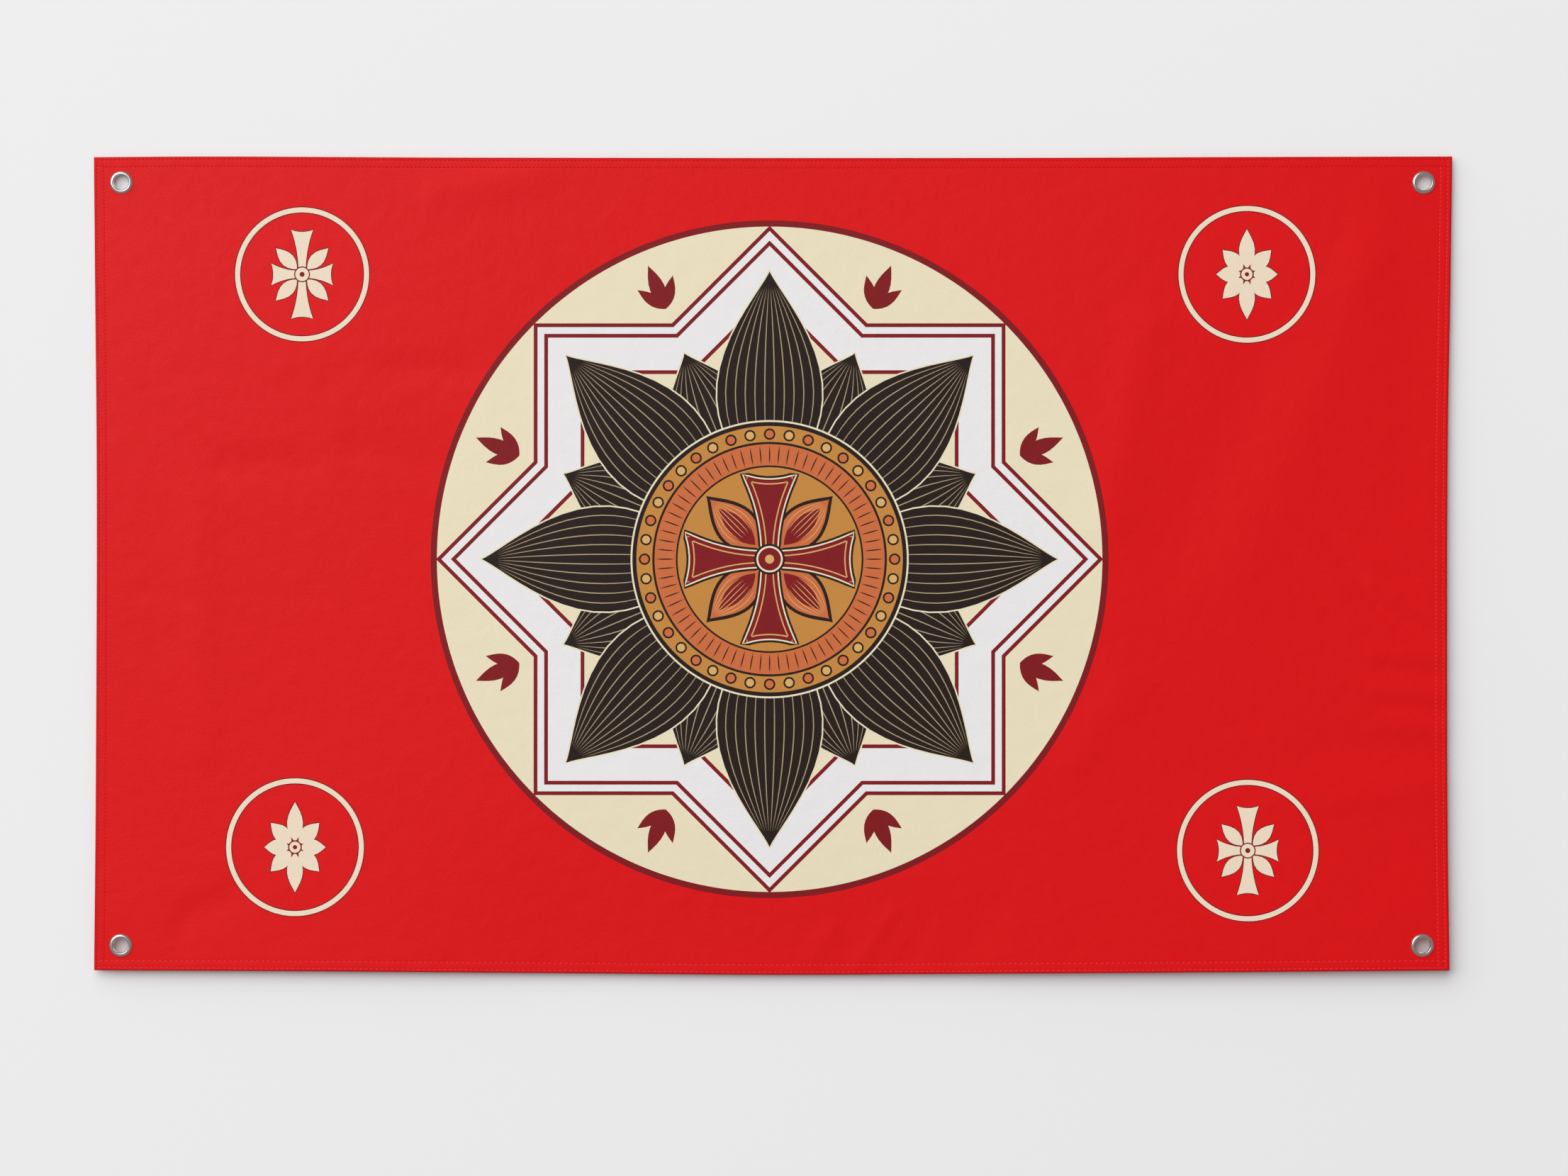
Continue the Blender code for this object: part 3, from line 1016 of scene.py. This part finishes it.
def sew_rows(context, facing):
    """All hem rows of one face as one piece, each row's stitches a closed form of their own."""
    cloth = context.scene.flag_cloth
    stitch = context.scene.flag_stitch
    colours = context.scene.flag_colours
    parts = []
    threads = []
    for order, row in enumerate(STITCH_ROWS):
        points, faces = row_of_stitches(row, order, facing, cloth, stitch)
        parts.append((points, outward(points, faces)))
        # Rows on the right and bottom take the thread with painted light, rows on the top and left the
        # thread with painted shade
        threads.append(np.full(len(faces), int(row[0] in ("right", "bottom"))))
    finishes = [
        thread_finish(f"dark_thread_{facing}", colours.dark_thread),
        thread_finish(f"light_thread_{facing}", colours.light_thread),
    ]
    rows = new_mesh(f"hem_stitching_{facing}", *joined(parts), finishes, np.concatenate(threads))
    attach(rows, "root")
    return rows


def smooth_loop(rows, steps=3):
    """A closed curve through a section's points: between two points, the cubic that keeps their slopes."""
    points = np.array(rows, float)
    ahead = np.roll(points, -1, axis=0)
    slope = (ahead - np.roll(points, 1, axis=0)) / 2
    slope_ahead = np.roll(slope, -1, axis=0)
    t = (np.arange(steps) / steps)[None, :, None]
    start = (1 + 2 * t) * (1 - t) ** 2 * points[:, None] + t * (1 - t) ** 2 * slope[:, None]
    end = t * t * (3 - 2 * t) * ahead[:, None] + t * t * (t - 1) * slope_ahead[:, None]
    return (start + end).reshape(-1, 2)


def turned_piece(name, section, centre, finish, segments=84):
    """A closed section of radius and height carried once round an axis that points out of the wall.

    Point: centre + (radius cos a, -height, radius sin a), a going once round.
    """
    rows = len(section)
    angle = np.arange(segments) * 2 * math.pi / segments
    points = np.empty((segments, rows, 3))
    points[:, :, 0] = centre[0] + np.cos(angle)[:, None] * section[:, 0]
    points[:, :, 1] = centre[1] - section[:, 1]
    points[:, :, 2] = centre[2] + np.sin(angle)[:, None] * section[:, 0]
    column, row = np.meshgrid(np.arange(segments), np.arange(rows), indexing="ij")
    next_column = (column + 1) % segments
    next_row = (row + 1) % rows
    corners = [(column, row), (next_column, row), (next_column, next_row), (column, next_row)]
    quads = np.stack([a * rows + b for a, b in corners], axis=-1).reshape(-1, 4)
    reach = np.append(0, np.cumsum(np.linalg.norm(np.roll(section, -1, axis=0) - section, axis=1)))
    turns = np.stack([column, column + 1, column + 1, column], axis=-1) / segments
    lengths = np.stack([reach[row], reach[row], reach[row + 1], reach[row + 1]], axis=-1)
    uv = np.stack([turns, lengths], axis=-1).reshape(-1, 4, 2)
    points = points.reshape(-1, 3)
    halves = np.concatenate([quads[:, :3], quads[:, [0, 2, 3]]])
    if outward(points, halves) is not halves:
        quads = quads[:, ::-1]
        uv = uv[:, ::-1]
    piece = new_mesh(name, points, quads, [finish], None, TURNED_UV, uv.reshape(-1, 2))
    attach(piece, "root")
    return piece


def eyelet_section(eyelet, cloth):
    """Eyelet section: flange with a thin rim, a smooth crown that rolls into the bore, and a back rim."""
    bore = eyelet.bore_radius / MM
    crown = eyelet.crown_radius / MM
    flange = eyelet.flange_radius / MM
    top = eyelet.crown_height / MM
    back = -(cloth.field_thickness + eyelet.washer_thickness) / MM - 0.05
    rows = (
        (bore + 0.5, -0.1),
        (bore + 0.9, 0.0),
        (crown, 0.0),
        (flange - 0.8, 0.0),
        (flange - 0.12, 0.03),
        (flange, 0.16),
        (flange - 0.1, 0.32),
        (flange - 0.26, 0.5),
        (flange - 0.45, 0.84),
        (crown + 2.0, top - 0.68),
        (crown + 1.55, top - 0.4),
        (crown + 1.1, top - 0.2),
        (crown + 0.6, top - 0.06),
        (crown, top),
        (crown - 0.45, top - 0.05),
        (crown - 0.85, top - 0.22),
        (crown - 1.2, top - 0.54),
        (crown - 1.45, top - 1.05),
        (bore + 0.12, 0.1),
        (bore + 0.04, -0.4),
        (bore, back + 0.1),
        (bore + 0.15, back - 0.6),
        (bore + 0.6, back - 0.8),
        (bore + 1.2, back - 0.75),
        (bore + 1.7, back - 0.3),
        (bore + 1.6, back),
        (bore + 1.1, back),
        (bore + 0.5, back + 0.1),
    )
    return smooth_loop(rows) * MM


def washer_section(eyelet, cloth):
    """Washer section: a flat ring with a slightly rounded outer edge, pressed on the cloth's back."""
    inner = eyelet.bore_radius / MM + 0.6
    outer = eyelet.washer_radius / MM
    front = -cloth.field_thickness / MM
    back = front - eyelet.washer_thickness / MM
    rows = (
        (inner, front),
        (inner, back),
        (inner + 0.3, back),
        ((inner + outer) / 2, back),
        (outer - 0.6, back),
        (outer - 0.15, back + 0.12),
        (outer, back + 0.3),
        (outer - 0.1, front - 0.05),
        (outer - 0.4, front),
        ((inner + outer) / 2, front),
        (inner + 0.3, front),
    )
    return smooth_loop(rows, 2) * MM


def set_rings(context, kind, section):
    """Four like turned pieces, one on each eyelet's place on the cloth."""
    colours = context.scene.flag_colours
    pieces = []
    for corner, centre in eyelet_plans():
        finish = nickel_finish(f"nickel_{kind}_{corner}", colours.nickel)
        piece = turned_piece(f"flag_{kind}_{corner}", section, placed(centre, 0), finish)
        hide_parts(f"{kind}_{corner}")
        pieces.append(piece)
    return pieces


class FLAG_OT_make_panel(bpy.types.Operator):
    """Makes the printed cloth panel with its turned hem"""

    bl_idname = "flag.make_panel"
    bl_label = "Make cloth panel"

    def execute(self, context):
        make_panel(context)
        return {"FINISHED"}


class FLAG_OT_sew_hem(bpy.types.Operator):
    """Sews the two stitch rows round the hem, on the front and the back"""

    bl_idname = "flag.sew_hem"
    bl_label = "Sew hem rows"

    def execute(self, context):
        sew_rows(context, "front")
        sew_rows(context, "back")
        return {"FINISHED"}


class FLAG_OT_set_eyelets(bpy.types.Operator):
    """Sets the four eyelets on the front of the cloth"""

    bl_idname = "flag.set_eyelets"
    bl_label = "Set eyelets"

    def execute(self, context):
        scene = context.scene
        set_rings(context, "eyelet", eyelet_section(scene.flag_eyelet, scene.flag_cloth))
        return {"FINISHED"}


class FLAG_OT_set_washers(bpy.types.Operator):
    """Sets the four washers behind the cloth"""

    bl_idname = "flag.set_washers"
    bl_label = "Set washers"

    def execute(self, context):
        scene = context.scene
        set_rings(context, "washer", washer_section(scene.flag_eyelet, scene.flag_cloth))
        return {"FINISHED"}


class FLAG_OT_hang_sheet(bpy.types.Operator):
    bl_idname = "flag.hang_sheet"
    bl_label = "Hang the sheet"

    def execute(self, context):
        return {"FINISHED"}


def plane(name, corners, finish):
    """A flat stage piece from its four corners."""
    piece = new_mesh(name, np.array(corners, float), np.array([[0, 1, 2, 3]]), [finish])
    return piece


def wall_finish(base):
    """A plain wall that shows from its front only, so that the flag's back can be looked at."""
    finish, tree, shader = new_finish("plain_wall", base, 0.9)
    facing = add_node(tree, "ShaderNodeNewGeometry").outputs["Backfacing"]
    clear = add_node(tree, "ShaderNodeBsdfTransparent").outputs["BSDF"]
    either = add_node(tree, "ShaderNodeMixShader", {0: facing, 1: shader.outputs["BSDF"], 2: clear})
    output = tree.nodes["Material Output"]
    tree.links.new(either.outputs["Shader"], output.inputs["Surface"])
    return finish


def soft_light(name, place, target, across, power):
    """A square area light at a place that points at the target."""
    data = bpy.data.lights.new(name, "AREA")
    data.size = across
    data.energy = power
    light = bpy.data.objects.new(name, data)
    bpy.context.scene.collection.objects.link(light)
    light.location = place
    light.visible_camera = False
    direction = np.array(target) - np.array(place)
    direction = direction / np.linalg.norm(direction)
    light.rotation_euler = (math.acos(-direction[2]), 0, math.atan2(-direction[0], direction[1]))
    return light


class FLAG_OT_set_stage(bpy.types.Operator):
    """Sets the plain wall, the floor, the soft light and the camera"""

    bl_idname = "flag.set_stage"
    bl_label = "Set stage"

    def execute(self, context):
        scene = context.scene
        stage = scene.flag_stage
        floor_z = -1.42
        reach = 9.0
        wall_top = 3.0
        wall_side = 4.0
        wall_corners = [(-wall_side, 0, floor_z), (wall_side, 0, floor_z), (wall_side, 0, wall_top)]
        wall_corners.append((-wall_side, 0, wall_top))
        wall = plane("plain_wall", wall_corners, wall_finish(stage.wall))
        wall.visible_shadow = False
        wall.visible_diffuse = False
        floor_corners = [(-reach, -reach, floor_z), (reach, -reach, floor_z), (reach, reach, floor_z)]
        floor_corners.append((-reach, reach, floor_z))
        floor_finish, _, _ = new_finish("plain_floor", stage.floor, 0.85)
        floor = plane("plain_floor", floor_corners, floor_finish)
        floor.visible_diffuse = False
        floor.visible_glossy = False
        middle = (0, 0, -0.45)
        key = soft_light("key_light", (-13.0, -13.2, 14.75), middle, 40.0, stage.key_power)
        key.visible_glossy = False
        card = soft_light("card_light", (-3.6, -7.4, 2.6), middle, 6.0, stage.card_power)
        card.visible_diffuse = False
        rim_card = soft_light("rim_light", (-4.8, -4.6, 4.4), middle, 8.0, stage.rim_power)
        rim_card.visible_diffuse = False
        back_light = soft_light("back_light", (2.0, 3.6, 1.8), middle, 2.0, stage.back_power)
        back_light.data.cycles.max_bounces = 0
        world = bpy.data.worlds.new("studio")
        world.use_nodes = True
        background = world.node_tree.nodes["Background"]
        background.inputs["Color"].default_value = screen_colour(246, 247, 250)
        background.inputs["Strength"].default_value = stage.surround
        scene.world = world
        camera_data = bpy.data.cameras.new("front_camera")
        camera_data.sensor_width = 36.0
        # Width of the picture on the cloth, whose middle stands this far from the wall
        frame_width = 1.7309
        middle_stand = 0.007
        camera_data.lens = camera_data.sensor_width * (stage.camera_distance - middle_stand) / frame_width
        camera = bpy.data.objects.new("front_camera", camera_data)
        frame_x, frame_z = 0.0122, -0.4762
        camera.location = (frame_x, -stage.camera_distance, frame_z)
        camera.rotation_euler = (math.pi / 2, 0, 0)
        scene.collection.objects.link(camera)
        scene.camera = camera
        scene.view_settings.view_transform = "Standard"
        return {"FINISHED"}


class FLAG_PT_tools(bpy.types.Panel):
    """Steps that make the flag, in their order"""

    bl_label = "Cloth flag"
    bl_idname = "FLAG_PT_tools"
    bl_space_type = "VIEW_3D"
    bl_region_type = "UI"
    bl_category = "Cloth flag"

    def draw(self, context):
        for operator in OPERATORS:
            self.layout.operator(operator.bl_idname)


OPERATORS = (
    FLAG_OT_make_panel,
    FLAG_OT_sew_hem,
    FLAG_OT_set_eyelets,
    FLAG_OT_set_washers,
    FLAG_OT_hang_sheet,
    FLAG_OT_set_stage,
)
SETTINGS = {
    "flag_cloth": FlagClothSizes,
    "flag_stitch": FlagStitchSizes,
    "flag_eyelet": FlagEyeletSizes,
    "flag_colours": FlagColours,
    "flag_stage": FlagStageSettings,
}


def register():
    for kind in (*SETTINGS.values(), *OPERATORS, FLAG_PT_tools):
        bpy.utils.register_class(kind)
    for name, kind in SETTINGS.items():
        setattr(bpy.types.Scene, name, bpy.props.PointerProperty(type=kind))


def unregister():
    for name in SETTINGS:
        delattr(bpy.types.Scene, name)
    for kind in reversed((*SETTINGS.values(), *OPERATORS, FLAG_PT_tools)):
        bpy.utils.unregister_class(kind)


def main():
    register()
    bpy.ops.flag.make_panel()
    bpy.ops.flag.sew_hem()
    bpy.ops.flag.set_eyelets()
    bpy.ops.flag.set_washers()
    bpy.ops.flag.hang_sheet()
    bpy.ops.flag.set_stage()


if __name__ == "__main__":
    main()
